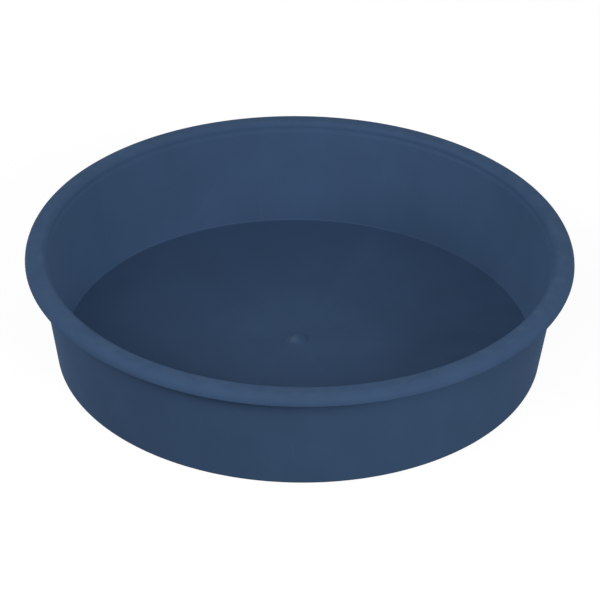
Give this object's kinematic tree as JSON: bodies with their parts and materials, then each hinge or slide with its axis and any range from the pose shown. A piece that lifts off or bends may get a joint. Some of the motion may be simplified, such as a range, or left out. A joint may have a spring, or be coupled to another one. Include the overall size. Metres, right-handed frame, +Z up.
{
  "type": "mud pan",
  "caption": "Round open pan with a flat floor, a leaning wall and a rounded, turned-down rim, for mixing and carrying plaster or joint compound.",
  "frame": {"origin": "centre of the resting face under the floor", "axes": "+Z up along the pan's axis, out of the mouth; +X and +Y are alike, because the pan is round"},
  "size_m": [0.3, 0.3, 0.065],
  "materials": {
    "pan_plastic": "matte moulded, dark blue"
  },
  "bodies": {
    "root": {"pan": "pan_plastic"}
  },
  "joints": []
}
